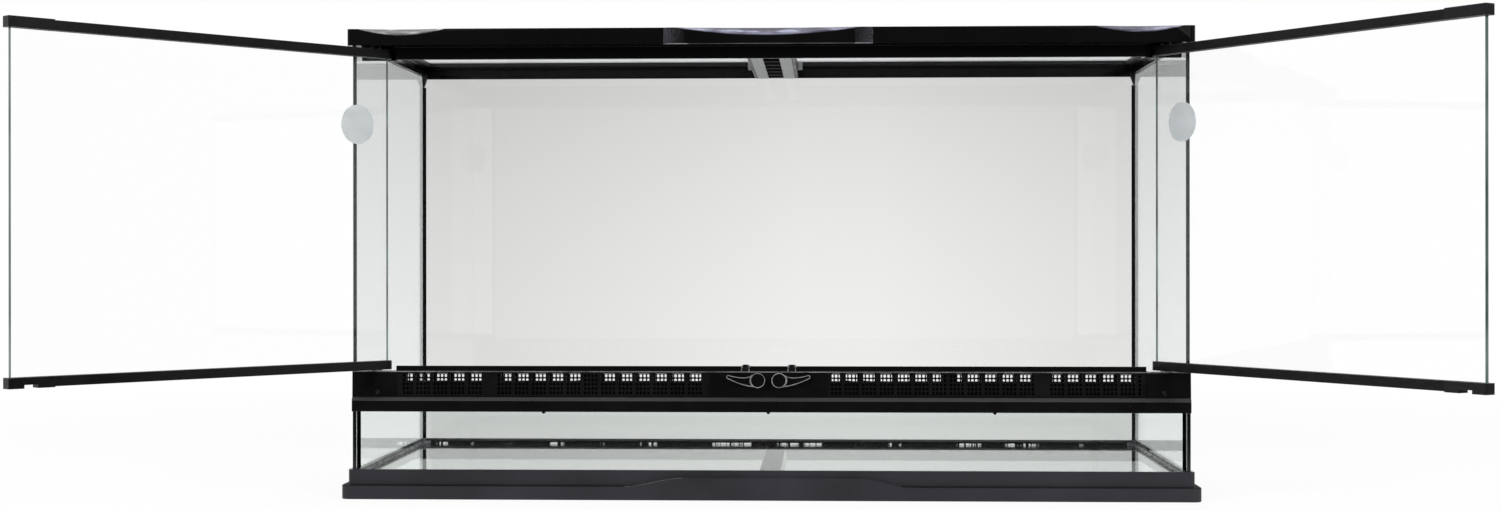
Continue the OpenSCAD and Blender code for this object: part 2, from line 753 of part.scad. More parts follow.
module latch_knob() color(satin_black) set_latch() difference() {
    union() {
        translate([0, knob_back, 0]) rotate([90, 0, 0]) cylinder(r = head_r, h = head_t);
        translate([0, lever_back, 0]) rotate([90, 0, 0]) linear_extrude(lever_t) lever_outline();
    }
    translate([0, knob_back + 1, 0]) rotate([90, 0, 0]) cylinder(r = shaft_r + grip_gap, h = shaft_in + 1);
}

module latch_shaft() color(steel) set_latch()
    translate([0, well_front + washer_t + shaft_end, 0]) rotate([90, 0, 0])
        cylinder(r = shaft_r, h = well_front + washer_t + shaft_end - knob_back + shaft_in);

module latch_washer() color(steel) set_latch()
    translate([0, well_front + collar_gap + washer_t, 0]) rotate([90, 0, 0]) difference() {
        cylinder(r = shaft_r * 2, h = washer_t);
        translate([0, 0, -1]) cylinder(r = shaft_r + grip_gap, h = washer_t + 2);
    }

module latch_knob_left() mirror([1, 0, 0]) latch_knob();
module latch_shaft_left() mirror([1, 0, 0]) latch_shaft();
module latch_washer_left() mirror([1, 0, 0]) latch_washer();
module latch_knob_right() latch_knob();
module latch_shaft_right() latch_shaft();
module latch_washer_right() latch_washer();

// ---- screens ----
// A screen is drawn for the right side. screen_ring is a frame between two insets from its edge.

screen_x0 = web_w / 2 + screen_gap;
screen_x1 = well_x - screen_gap;
screen_y0 = well_front + screen_gap;
screen_y1 = well_back - screen_gap;
rest_gap = 0.1;
mesh_gap = 0.05;
spline_in = 0.4;
screen_z = ledge_z + rest_gap;
mesh_z = screen_z + bar_floor + mesh_gap;

module screen_slab(inset, z0, z1)
    box([screen_x0 + inset, screen_y0 + inset, z0], [screen_x1 - inset, screen_y1 - inset, z1]);

module screen_ring(outer, inner, z0, z1) difference() {
    screen_slab(outer, z0, z1);
    screen_slab(inner, z0 - 1, z1 + 1);
}

module screen_frame() color(satin_black) {
    screen_ring(0, bar_w, screen_z, screen_z + bar_floor);
    screen_ring(0, bar_wall, screen_z, screen_z + bar_h);
}

// A sheet with a plain grid of openings inside the frame's bars.
module screen_mesh() color(mesh_steel) difference() {
    screen_slab(bar_wall + bond, mesh_z, mesh_z + mesh_t);
    cell_x = (screen_x1 - screen_x0 - 2 * bar_w) / mesh_cols;
    cell_y = (screen_y1 - screen_y0 - 2 * bar_w) / mesh_rows;
    translate([screen_x0 + bar_w + strand_w / 2, screen_y0 + bar_w + strand_w / 2, mesh_z - 1])
        for (i = [0:mesh_cols - 1], j = [0:mesh_rows - 1])
            translate([i * cell_x, j * cell_y, 0]) cube([cell_x - strand_w, cell_y - strand_w, mesh_t + 2]);
}

module screen_spline() color(seal_black)
    screen_ring(bar_wall + bond, bar_wall + bond + spline_w, mesh_z + mesh_t, screen_z + bar_h - spline_in);

module screen_frame_left() mirror([1, 0, 0]) screen_frame();
module screen_mesh_left() mirror([1, 0, 0]) screen_mesh();
module screen_spline_left() mirror([1, 0, 0]) screen_spline();
module screen_frame_right() screen_frame();
module screen_mesh_right() screen_mesh();
module screen_spline_right() screen_spline();

base_frame();
floor_glass();
back_glass();
side_glass_left();
side_glass_right();
front_glass();
silicone_back();
silicone_floor();
silicone_front();
vent_strip();
vent_grille();
hinge_cover_left();
hinge_cover_right();
cover_screws();
door_catches();
bottom_bushes();
top_bushes();
top_frame();
corner_gussets();
centre_brace();
brace_strips();
brace_clips();
left_door_glass();
left_door_top_rail();
left_door_bottom_rail();
left_door_clips();
left_door_pins();
left_door_disc();
right_door_glass();
right_door_top_rail();
right_door_bottom_rail();
right_door_clips();
right_door_pins();
right_door_disc();
latch_knob_left();
latch_shaft_left();
latch_washer_left();
latch_knob_right();
latch_shaft_right();
latch_washer_right();
screen_frame_left();
screen_mesh_left();
screen_spline_left();
screen_frame_right();
screen_mesh_right();
screen_spline_right();
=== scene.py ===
import json
import math

import bpy
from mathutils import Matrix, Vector

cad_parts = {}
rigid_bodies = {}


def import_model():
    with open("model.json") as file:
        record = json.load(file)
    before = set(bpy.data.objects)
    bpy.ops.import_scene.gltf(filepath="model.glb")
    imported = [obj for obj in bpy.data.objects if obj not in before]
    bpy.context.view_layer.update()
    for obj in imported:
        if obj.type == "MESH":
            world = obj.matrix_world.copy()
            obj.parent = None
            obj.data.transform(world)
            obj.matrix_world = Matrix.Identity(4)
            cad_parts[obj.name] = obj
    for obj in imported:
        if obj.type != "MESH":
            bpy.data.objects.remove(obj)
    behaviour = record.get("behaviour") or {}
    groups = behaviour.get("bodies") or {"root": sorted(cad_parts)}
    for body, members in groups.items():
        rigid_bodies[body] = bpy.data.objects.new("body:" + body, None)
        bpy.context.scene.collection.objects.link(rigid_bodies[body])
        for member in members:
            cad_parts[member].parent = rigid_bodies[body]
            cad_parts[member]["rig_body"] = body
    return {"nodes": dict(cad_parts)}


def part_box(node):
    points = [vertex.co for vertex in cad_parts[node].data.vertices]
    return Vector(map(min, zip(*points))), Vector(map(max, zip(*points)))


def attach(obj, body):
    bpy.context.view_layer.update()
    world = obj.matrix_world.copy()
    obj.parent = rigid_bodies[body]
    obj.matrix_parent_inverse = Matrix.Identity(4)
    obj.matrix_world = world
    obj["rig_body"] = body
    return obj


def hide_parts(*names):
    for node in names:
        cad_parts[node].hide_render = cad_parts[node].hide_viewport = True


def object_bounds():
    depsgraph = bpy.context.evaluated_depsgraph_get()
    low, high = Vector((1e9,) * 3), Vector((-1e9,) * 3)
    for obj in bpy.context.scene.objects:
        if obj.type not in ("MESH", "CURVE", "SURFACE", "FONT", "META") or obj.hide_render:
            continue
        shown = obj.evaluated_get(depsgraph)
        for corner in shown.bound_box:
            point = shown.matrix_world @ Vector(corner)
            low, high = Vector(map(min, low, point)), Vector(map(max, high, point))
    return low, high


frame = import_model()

MM = 0.001
cad_low, cad_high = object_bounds()

# Two places nearer than this are the same.
SAME_PLACE = 0.01 * MM
# In a copy of a CAD node, nearer vertices are merged and faces at a smaller angle become one.
MERGE_WITHIN, FLAT_WITHIN = 0.002 * MM, math.radians(0.4)
# An edge whose faces turn by more than this is sharp.
SHARP_ANGLE = math.radians(28)

# Camera of the main view, in metres and degrees, with its lens and sensor in millimetres, and the near and
# far ends of what it sees.
CAMERA_AT = (0.0617, -2.3655, 0.2629)
CAMERA_YAW, CAMERA_PITCH, CAMERA_ROLL = 2.14, -0.02, 0.03
CAMERA_LENS, CAMERA_SENSOR = 48.77, 36
CAMERA_SEES = (0.05, 60)


# ---- small tools ----

def select_only(obj):
    bpy.ops.object.select_all(action="DESELECT")
    obj.select_set(True)
    bpy.context.view_layer.objects.active = obj


def apply_all(obj):
    select_only(obj)
    for modifier in list(obj.modifiers):
        bpy.ops.object.modifier_apply(modifier=modifier.name)


def settle(obj):
    """Puts the object's place into its mesh, so that its origin is at the world's."""
    select_only(obj)
    bpy.ops.object.transform_apply(location=True, rotation=True, scale=True)


def smooth(obj, degrees=35):
    select_only(obj)
    bpy.ops.object.shade_smooth_by_angle(angle=math.radians(degrees))


def flatten_broad_faces(obj):
    """Keeps broad faces shaded flat beside their rounded edges."""
    weighted = obj.modifiers.new("flat_faces", "WEIGHTED_NORMAL")
    weighted.mode = "FACE_AREA"
    weighted.weight = 100
    weighted.keep_sharp = True
    apply_all(obj)


def join(name, pieces):
    select_only(pieces[0])
    for piece in pieces:
        piece.select_set(True)
    bpy.ops.object.join()
    pieces[0].name = name
    pieces[0].data.name = name
    return pieces[0]


def pick(obj, kind, test):
    """In edit mode, selects the vertices, edges or polygons whose middle passes the test."""
    mesh = obj.data
    bpy.ops.object.mode_set(mode="OBJECT")
    for group in (mesh.vertices, mesh.edges, mesh.polygons):
        group.foreach_set("select", [False] * len(group))
    for item in getattr(mesh, kind):
        corners = [item.co] if kind == "vertices" else [mesh.vertices[i].co for i in item.vertices]
        item.select = test(sum(corners, Vector()) / len(corners))
    modes = [kind == word for word in ("vertices", "edges", "polygons")]
    bpy.context.tool_settings.mesh_select_mode = modes
    bpy.ops.object.mode_set(mode="EDIT")


def copy_of_node(node):
    """A merged copy of a CAD node's mesh, with its flat faces whole again."""
    source = frame["nodes"][node]
    obj = bpy.data.objects.new(node + "_finish", source.data.copy())
    bpy.context.scene.collection.objects.link(obj)
    obj.data.materials.clear()
    select_only(obj)
    bpy.ops.object.mode_set(mode="EDIT")
    bpy.ops.mesh.select_all(action="SELECT")
    bpy.ops.mesh.remove_doubles(threshold=MERGE_WITHIN)
    bpy.ops.mesh.dissolve_limited(angle_limit=FLAT_WITHIN)
    bpy.ops.object.mode_set(mode="OBJECT")
    return obj


def longer_than(length):
    """A test for an edge's two ends."""
    return lambda first, last: (first - last).length > length


def mark_edges(obj, chosen):
    """Marks the sharp edges whose two ends pass the test."""
    mesh = obj.data
    sides = {}
    for face in mesh.polygons:
        for key in face.edge_keys:
            sides.setdefault(key, []).append(face.normal)
    weights = mesh.attributes.new("bevel_weight_edge", "FLOAT", "EDGE")
    for edge in mesh.edges:
        normals = sides.get(edge.key, [])
        sharp = len(normals) == 2 and normals[0].angle(normals[1], 0) > SHARP_ANGLE
        first, last = (mesh.vertices[i].co for i in edge.vertices)
        weights.data[edge.index].value = float(sharp and chosen(first, last))


def soften(obj, width, segments=2, chosen=None):
    """Rounds the sharp edges, or the chosen ones among them at their full width."""
    if chosen:
        mark_edges(obj, chosen)
    bevel = obj.modifiers.new("edges", "BEVEL")
    bevel.width = width
    bevel.segments = segments
    bevel.limit_method = "WEIGHT" if chosen else "ANGLE"
    bevel.angle_limit = SHARP_ANGLE
    bevel.use_clamp_overlap = not chosen
    apply_all(obj)
    smooth(obj)
    flatten_broad_faces(obj)


def stands_for(piece, node):
    """The piece takes the CAD node's place and rides on its body."""
    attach(piece, frame["nodes"][node]["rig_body"])
    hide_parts(node)
    return piece


def dress(node, material, width, segments=2, chosen=None):
    """A CAD node's own shape with its edges rounded and a finish on it."""
    piece = copy_of_node(node)
    soften(piece, width, segments, chosen)
    piece.data.materials.append(material)
    return stands_for(piece, node)


def touch_up(piece, material, test):
    """Gives another finish to the faces whose middle and normal pass the test."""
    piece.data.materials.append(material)
    for face in piece.data.polygons:
        if test(face.center, face.normal):
            face.material_index = len(piece.data.materials) - 1


def ring_front(obj, width, step):
    """Sinks the front faces by a step inside a rim of the given width.

    Returns the test for the rim's faces."""
    levels = {round(face.center.y, 5) for face in obj.data.polygons if face.normal.y < -0.99}

    def at_a_level(middle, depth):
        return min(abs(middle.y - level - depth) for level in levels) < SAME_PLACE

    pick(obj, "polygons", lambda middle: at_a_level(middle, 0))
    bpy.ops.mesh.inset(thickness=width, use_even_offset=False)
    bpy.ops.transform.translate(value=(0, step, 0))
    bpy.ops.object.mode_set(mode="OBJECT")
    return lambda middle, normal: at_a_level(middle, step / 2) and normal.y < -0.7


# ---- materials ----

def scaled(colour, factor, lift=0.0):
    """The colour made lighter or darker by a factor, and lifted a little."""
    return tuple(min(1.0, part * factor + lift) for part in colour)


class Shader:
    """A node tree with short ways to add and link nodes. Its place is the Object coordinates."""

    def __init__(self, name):
        self.material = bpy.data.materials.new(name)
        self.material.use_nodes = True
        self.tree = self.material.node_tree
        self.tree.nodes.clear()
        self.out = self.add("ShaderNodeOutputMaterial")
        self.place = self.add("ShaderNodeTexCoord").outputs["Object"]

    def add(self, kind, **values):
        node = self.tree.nodes.new(kind)
        for key, value in values.items():
            setattr(node, key, value)
        return node

    def link(self, source, socket):
        self.tree.links.new(source, socket)

    def put(self, socket, value):
        """Links a socket to another, or sets a number, a vector or a colour on it."""
        if isinstance(value, bpy.types.NodeSocket):
            self.link(value, socket)
        elif socket.type == "RGBA":
            socket.default_value = (*value[:3], 1.0)
        else:
            socket.default_value = value

    def fill(self, node, **inputs):
        for key, value in inputs.items():
            self.put(node.inputs[key.replace("_", " ")], value)
        return node

    def axes(self):
        """X, Y and Z of the place."""
        return self.fill(self.add("ShaderNodeSeparateXYZ"), Vector=self.place).outputs

    def mapped(self, scale):
        node = self.fill(self.add("ShaderNodeMapping"), Vector=self.place, Scale=scale)
        return node.outputs["Vector"]

    def noise(self, scale, detail, roughness=0.5, vector=None):
        node = self.add("ShaderNodeTexNoise")
        self.fill(node, Vector=vector or self.place, Scale=scale, Detail=detail, Roughness=roughness)
        return node.outputs["Fac"]

    def remap(self, value, low, high, to_low=0.0, to_high=1.0):
        node = self.add("ShaderNodeMapRange")
        self.link(value, node.inputs["Value"])
        for key, number in (("From Min", low), ("From Max", high), ("To Min", to_low), ("To Max", to_high)):
            node.inputs[key].default_value = number
        return node.outputs["Result"]

    def mix(self, factor, first, second):
        node = self.add("ShaderNodeMix", data_type="RGBA")
        self.put(node.inputs[0], factor)
        self.put(node.inputs[6], first)
        self.put(node.inputs[7], second)
        return node.outputs[2]

    def blend(self, factor, first, second):
        """Mixes two shaders."""
        node = self.add("ShaderNodeMixShader")
        self.link(factor, node.inputs[0])
        self.link(first.outputs[0], node.inputs[1])
        self.link(second.outputs[0], node.inputs[2])
        return node

    def math(self, operation, first, second=0.0):
        node = self.add("ShaderNodeMath", operation=operation)
        self.put(node.inputs[0], first)
        self.put(node.inputs[1], second)
        return node.outputs[0]

    def bump(self, height, strength, distance):
        node = self.add("ShaderNodeBump")
        self.fill(node, Height=height, Strength=strength, Distance=distance)
        return node.outputs["Normal"]

    def principled(self, **inputs):
        node = self.fill(self.add("ShaderNodeBsdfPrincipled"), **inputs)
        self.link(node.outputs[0], self.out.inputs["Surface"])
        return node


def moulded(name, colour, roughness, grain=0.15, grain_scale=1400.0, cloudiness=0.3, specular=0.4):
    """Moulded or extruded plastic: a fine grain, faint clouding and dust, and an uneven sheen."""
    skin = Shader(name)
    clouds = skin.noise(9.0, 4.0)
    dust = skin.noise(260.0, 2.0)
    darker, lighter = scaled(colour, 1 - cloudiness), scaled(colour, 1 + cloudiness)
    tint = skin.mix(skin.remap(clouds, 0.3, 0.7), darker, lighter)
    tint = skin.mix(skin.remap(dust, 0.68, 0.8, 0, 0.12), tint, scaled(colour, 2.5, 0.02))
    sheen = skin.remap(skin.noise(38.0, 5.0), 0.3, 0.7, roughness * 0.85, roughness * 1.15)
    normal = skin.bump(skin.noise(grain_scale, 2.0), grain, 0.0002)
    skin.principled(Base_Color=tint, Roughness=sheen, Normal=normal, Specular_IOR_Level=specular)
    return skin.material


# The height where a pane's painted shade starts to darken its tint towards its top.
GRADE_FOOT = 30 * MM
# Painted shade and light towards a pane's ends: the X it is measured from, how far off it begins and is
# full.
BACK_ENDS = (80 * MM, 50 * MM, 440 * MM)
LOW_ENDS = (12 * MM, 375 * MM, 391 * MM)


def graded(skin, low, high, rise, ends, ends_at):
    """Painted shade and light: a tint from low to high up the pane, times a factor towards its two ends."""
    place = skin.axes()
    height = skin.math("POWER", skin.remap(place["Z"], GRADE_FOOT, cad_high.z), rise)
    body = skin.mix(height, low, high)
    if ends != 1:
        at_ends = skin.mix(height, scaled(low, ends), scaled(high, ends))
        centre, begins, full = ends_at
        from_centre = skin.math("ABSOLUTE", skin.math("SUBTRACT", place["X"], centre))
        body = skin.mix(skin.remap(from_centre, begins, full), body, at_ends)
    return body


def clear_glass(name, low, high=None, index=1.5, haze=0.0, rise=1.0, ends=1.0, ends_at=None):
    """Float glass that lets lamps through. It passes the low tint at its foot and the high one at its top.

    The grade is painted shade and its power is rise. Ends is the tint's factor towards the pane's left and
    right ends, painted shade below one and painted light above one."""
    skin = Shader(name)
    body = graded(skin, low, high or low, rise, ends, ends_at) if high or ends != 1 else low
    smear = skin.remap(skin.noise(14.0, 5.0), 0.45, 0.8, haze * 0.3, haze) if haze else 0.0
    glass = skin.fill(skin.add("ShaderNodeBsdfPrincipled"), Base_Color=body, Roughness=smear, IOR=index,
                      Transmission_Weight=1.0)
    through = skin.fill(skin.add("ShaderNodeBsdfTransparent"), Color=body)
    rays = skin.add("ShaderNodeLightPath").outputs
    passes = skin.math("MAXIMUM", rays["Is Shadow Ray"], rays["Is Diffuse Ray"])
    skin.link(skin.blend(passes, glass, through).outputs[0], skin.out.inputs["Surface"])
    return skin.material


def glass_edge(name, colour, light):
    """The ground edge of a pane, where the glass's own green gathers."""
    skin = Shader(name)
    runs = skin.noise(60.0, 3.0, vector=skin.mapped((1.0, 1.0, 0.25)))
    tint = skin.mix(skin.remap(runs, 0.35, 0.7), colour, light)
    skin.principled(Base_Color=tint, Roughness=0.18, IOR=1.5, Specular_IOR_Level=0.6,
                    Normal=skin.bump(skin.noise(700.0, 2.0), 0.2, 0.0002))
    return skin.material


def metal(name, colour, roughness):
    """Turned metal with fine scratches that lie across Y, and an uneven sheen."""
    skin = Shader(name)
    fine = skin.noise(420.0, 4.0, vector=skin.mapped((1.0, 6.0, 1.0)))
    tint = skin.mix(skin.remap(fine, 0.3, 0.7), scaled(colour, 0.85), colour)
    sheen = skin.remap(skin.noise(55.0, 4.0), 0.3, 0.7, roughness * 0.8, roughness * 1.25)
    skin.principled(Base_Color=tint, Metallic=1.0, Roughness=sheen, Normal=skin.bump(fine, 0.2, 0.0001))
    return skin.material


# The floor's seams lie below SEAM_TOP: one beyond BACK_SEAM along Y, and one at each side beyond SIDE_SEAM.
SEAM_TOP, BACK_SEAM, SIDE_SEAM = 32 * MM, 170 * MM, 436 * MM
# The back seam's painted glints lie below this height.
LIGHTS_TOP = 27.2 * MM


def silicone(name, colour, light, smeared):
    """Tooled black sealant, with painted glints in the floor's back seam and smears in its side seams."""
    skin = Shader(name)
    place = skin.axes()
    on_floor = skin.math("LESS_THAN", place["Z"], SEAM_TOP)
    at_back = skin.math("MULTIPLY", skin.math("GREATER_THAN", place["Y"], BACK_SEAM), on_floor)
    from_middle = skin.math("ABSOLUTE", place["X"])
    at_side = skin.math("MULTIPLY", skin.math("GREATER_THAN", from_middle, SIDE_SEAM), on_floor)
    ripple = skin.noise(120.0, 3.0)
    ticks = skin.remap(skin.noise(1.0, 1.0, vector=skin.mapped((380.0, 20.0, 60.0))), 0.50, 0.54)
    clusters = skin.remap(skin.noise(1.0, 2.0, vector=skin.mapped((22.0, 4.0, 4.0))), 0.53, 0.57)
    low = skin.math("LESS_THAN", place["Z"], LIGHTS_TOP)
    broken = skin.math("MULTIPLY", ticks, clusters)
    lights = skin.math("MULTIPLY", broken, skin.math("MULTIPLY", at_back, low))
    smears = skin.math("MULTIPLY", skin.remap(skin.noise(75.0, 5.0, 0.65), 0.36, 0.66, 0.1, 1), at_side)
    tint = skin.mix(smears, skin.mix(lights, colour, light), smeared)
    sheen = skin.remap(ripple, 0.3, 0.7, 0.16, 0.3)
    skin.principled(Base_Color=tint, Roughness=sheen, Specular_IOR_Level=0.12,
                    Normal=skin.bump(ripple, 0.2, 0.0005))
    return skin.material


def felt(name, colour):
    """Short-napped felt with flecks."""
    skin = Shader(name)
    nap = skin.noise(1500.0, 3.0, 0.7)
    fleck = skin.noise(420.0, 4.0, 0.7)
    tint = skin.mix(skin.remap(fleck, 0.36, 0.56), scaled(colour, 0.62), colour)
    tint = skin.mix(skin.remap(nap, 0.5, 0.8, 0, 0.3), tint, scaled(colour, 0.6))
    skin.principled(Base_Color=tint, Roughness=0.95, Sheen_Weight=0.3, Specular_IOR_Level=0.2,
                    Normal=skin.bump(nap, 0.8, 0.0004))
    return skin.material


def film(name, colour):
    """Plain pale film with faint clouding and a soft gloss."""
    skin = Shader(name)
    cloud = skin.noise(70.0, 4.0)
    tint = skin.mix(skin.remap(cloud, 0.35, 0.65), scaled(colour, 0.93), colour)
    skin.principled(Base_Color=tint, Roughness=skin.remap(cloud, 0.3, 0.7, 0.35, 0.5),
                    Normal=skin.bump(skin.noise(900.0, 2.0), 0.08, 0.0001))
    return skin.material


def facet_reflection(name, colour):
    """The finger scoops' slope, whose pale metallic colour is a painted reflection in long soft streaks."""
    skin = Shader(name)
    streaks = skin.noise(26.0, 5.0, vector=skin.mapped((1.0, 1.0, 5.0)))
    tint = skin.mix(skin.remap(streaks, 0.42, 0.56), scaled(colour, 0.34), colour)
    skin.principled(Base_Color=tint, Metallic=0.9, Roughness=0.16,
                    Normal=skin.bump(skin.noise(900.0, 2.0), 0.06, 0.0002))
    return skin.material


# How far from the middle the painted reflection on the rim's front begins, and where it is full.
REFLECTION_X = (91 * MM, 113 * MM)
GLOSS_BLACK = (0.0035, 0.0035, 0.004)


def speckled_reflection(name, colour, fleck):
    """Gloss moulding with a painted reflection towards its ends, broken up by bright painted glints."""
    skin = Shader(name)
    reflecting = skin.remap(skin.math("ABSOLUTE", skin.axes()["X"]), *REFLECTION_X)
    cloud = skin.noise(90.0, 4.0)
    specks = skin.math("MULTIPLY", skin.remap(skin.noise(800.0, 3.0), 0.54, 0.68), reflecting)
    tint = skin.mix(skin.remap(cloud, 0.35, 0.65), scaled(colour, 0.35), colour)
    tint = skin.mix(reflecting, GLOSS_BLACK, tint)
    skin.principled(Base_Color=skin.mix(specks, tint, fleck), Roughness=0.3, Specular_IOR_Level=0.3,
                    Normal=skin.bump(specks, 0.2, 0.0002))
    return skin.material


def painted_highlight_edge(name, dark, light, patches):
    """A painted highlight along an edge: uneven along its length, with finer breaks in it."""
    skin = Shader(name)
    breaks = skin.math("MULTIPLY", skin.noise(patches * 7, 2.0), 0.4)
    glint = skin.math("ADD", skin.noise(patches, 2.0), breaks)
    tint = skin.mix(skin.remap(glint, 0.52, 0.85), dark, light)
    skin.principled(Base_Color=tint, Roughness=0.3, Specular_IOR_Level=0.4,
                    Normal=skin.bump(skin.noise(900.0, 2.0), 0.15, 0.0002))
    return skin.material


VENT_BLACK = (0.0033, 0.0028, 0.003)

# Painted light below: edge and bevel highlights, scoop, block-end and bush reflections, step shade.
M_BASE = moulded("base_charcoal_grain", (0.025, 0.0235, 0.029), 0.5, grain=0.35, grain_scale=1100.0,
                 specular=0.25)
M_BASE_STEP_SHADE = moulded("base_step_painted_shade", (0.012, 0.0115, 0.0135), 0.7, grain=0.2, specular=0.1)
M_BASE_RAMP_HIGHLIGHT = painted_highlight_edge("base_ramp_painted_highlight", (0.07, 0.068, 0.075), (0.19, 0.185, 0.20), 30.0)
M_BAR_PAD = moulded("bar_foam_pad", (0.93, 0.94, 0.93), 0.8, grain=0.3, cloudiness=0.03)
M_RIM = moulded("rim_gloss", GLOSS_BLACK, 0.16, grain=0.05, cloudiness=0.2, specular=0.3)
M_RIM_FOOT_HIGHLIGHT = painted_highlight_edge("rim_foot_painted_highlight", (0.012, 0.012, 0.013), (0.13, 0.13, 0.135), 9.0)
M_BLOCK_END_REFLECTION = speckled_reflection("block_end_painted_reflection", (0.05, 0.05, 0.062), (0.22, 0.22, 0.235))
M_BLOCK_END_HIGHLIGHT = painted_highlight_edge("block_end_foot_painted_highlight", (0.20, 0.20, 0.205), (0.50, 0.50, 0.50), 60.0)
M_SCOOP_REFLECTION = facet_reflection("scoop_painted_reflection", (0.50, 0.50, 0.66))
M_END_SCOOP_REFLECTION = facet_reflection("end_scoop_painted_white_reflection", (0.93, 0.95, 0.95))
M_VENT = moulded("vent_satin", VENT_BLACK, 0.3, grain=0.12, specular=0.2)
M_VENT_BEVEL_HIGHLIGHT = moulded("vent_bevel_painted_highlight", (0.036, 0.036, 0.037), 0.4, grain=0.1, cloudiness=0.12,
                       specular=0.3)
M_LEDGE_HIGHLIGHT = painted_highlight_edge("ledge_painted_highlight", (0.07, 0.07, 0.072), (0.24, 0.235, 0.24), 35.0)
M_GRILLE = moulded("grille_satin", VENT_BLACK, 0.38, grain=0.2, specular=0.2)
M_RAIL = moulded("rail_satin", (0.0035, 0.003, 0.0034), 0.34, grain=0.14, specular=0.2)
M_RAIL_HIGHLIGHT = painted_highlight_edge("rail_painted_highlight", (0.012, 0.011, 0.012), (0.07, 0.07, 0.072), 14.0)
M_CATCH = moulded("catch_clip_satin", (0.004, 0.004, 0.0045), 0.28, grain=0.1, specular=0.25)
M_CATCH_HIGHLIGHT = painted_highlight_edge("catch_painted_highlight", (0.16, 0.16, 0.16), (0.40, 0.40, 0.395), 120.0)
M_LATCH = moulded("latch_gloss", (0.003, 0.003, 0.0033), 0.22, grain=0.06, specular=0.25)
M_LATCH_HIGHLIGHT = painted_highlight_edge("latch_painted_highlight", (0.15, 0.145, 0.155), (0.34, 0.33, 0.34), 90.0)
M_SCREW = metal("screw_blackened", (0.035, 0.035, 0.037), 0.3)
M_SCREEN = moulded("screen_frame_satin", (0.008, 0.008, 0.009), 0.4)
M_GREY = moulded("clip_grey_plastic", (0.30, 0.31, 0.32), 0.45, grain=0.1, cloudiness=0.12)
M_BUSH_REFLECTION = moulded("bush_painted_reflection", (0.33, 0.31, 0.38), 0.25, grain=0.05, cloudiness=0.35)
M_RUBBER = moulded("spline_rubber_skin", (0.016, 0.016, 0.016), 0.7, grain=0.3)
M_FELT = felt("brace_felt", (0.97, 0.96, 0.94))
M_DISC = film("disc_film_skin", (0.95, 0.985, 1.0))
M_SEAL = silicone("seam_silicone", (0.002, 0.002, 0.002), (0.97, 0.98, 0.97), (0.20, 0.195, 0.21))
M_STEEL = metal("pin_steel_turned", (0.58, 0.58, 0.60), 0.25)
M_WIRE = moulded("screen_wire_bright", (0.80, 0.81, 0.82), 0.4, grain=0.05, cloudiness=0.1)
M_DOOR_GLASS = clear_glass("door_glass_clear", (0.99, 0.995, 0.993), index=1.25)
M_SIDE_GLASS = clear_glass("side_glass_clear", (0.95, 0.975, 0.965), (0.745, 0.765, 0.765), index=1.4,
                           haze=0.02)
M_LOW_GLASS = clear_glass("low_pane_clear", (0.75, 0.78, 0.77), index=1.16, haze=0.006,
                          ends=1.22, ends_at=LOW_ENDS)
M_BACK_GLASS = clear_glass("back_glass_clear", (0.90, 0.905, 0.89), (0.69, 0.69, 0.68), index=1.4,
                           rise=2.0, ends=0.85, ends_at=BACK_ENDS)
M_FLOOR_GLASS = clear_glass("floor_glass_clear", (0.97, 0.985, 0.98), haze=0.004)
M_EDGE = glass_edge("glass_ground_edge", (0.001, 0.002, 0.0018), (0.002, 0.007, 0.006))
M_DOOR_EDGE = glass_edge("door_glass_edge", (0.03, 0.06, 0.055), (0.19, 0.27, 0.245))


# ---- glass ----

ARRIS = 0.4 * MM
# A pane's broad faces are larger than this, in square metres.
BROAD_AREA = 0.01


def pane(node, clear, edge):
    """A pane with its arrises taken off. Broad faces are clear, and the ground edges hold the green."""
    piece = copy_of_node(node)
    soften(piece, ARRIS)
    piece.data.materials.append(clear)
    piece.data.materials.append(edge)
    for face in piece.data.polygons:
        face.material_index = 0 if face.area > BROAD_AREA else 1
    stands_for(piece, node)


for side in ("left", "right"):
    pane("side_glass_" + side, M_SIDE_GLASS, M_EDGE)
    pane(side + "_door_glass", M_DOOR_GLASS, M_DOOR_EDGE)
pane("back_glass", M_BACK_GLASS, M_EDGE)
pane("front_glass", M_LOW_GLASS, M_EDGE)
pane("floor_glass", M_FLOOR_GLASS, M_EDGE)


# ---- base, rim and brace ----

# The wave ramp along X (painted highlight), the top of the base's proud lower band, and half the bar's
# width.
WAVE_RAMP = (-160 * MM, -84 * MM)
BAND_TOP = 15 * MM
BAR_HALF = 12.5 * MM
# How close a face's middle lies to the level or front that it belongs to, and the base's step to its own.
CLOSE, AT_STEP = 1 * MM, 0.2 * MM

base = dress("base_frame", M_BASE, 0.7 * MM, 3)
base_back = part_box("base_frame")[1].y
# The step's top all round the base is painted darker: a painted shade.
touch_up(base, M_BASE_STEP_SHADE, lambda middle, normal: (
    abs(middle.z - BAND_TOP) < CLOSE and normal.z > 0.2))
# The wave's left ramp gets a painted highlight on its sloping edge faces.
touch_up(base, M_BASE_RAMP_HIGHLIGHT, lambda middle, normal: (
    WAVE_RAMP[0] < middle.x < WAVE_RAMP[1] and middle.y < -base_back + CLOSE and 0.3 < normal.z < 0.95))
# The step's own flat face is a ring whose middle lies over the bar, so its level is left out.
touch_up(base, M_BAR_PAD, lambda middle, normal: (
    abs(middle.x) < BAR_HALF and abs(middle.y) < base_back / 2 and middle.z > CLOSE
    and abs(middle.z - BAND_TOP) > AT_STEP))

# Below this height all of the rim is clear of the finger scoops. Edges that reach higher, or are shorter
# than the second value, stay sharp.
BELOW_SCOOPS, SHORT_EDGE = 496 * MM, 1.2 * MM
# The middle block's ends along X hold a painted reflection, the scoop left of END_SCOOP a near white one.
BLOCK_ENDS = ((-112.5 * MM, -84 * MM), (93 * MM, 112.5 * MM))
END_SCOOP = -345 * MM
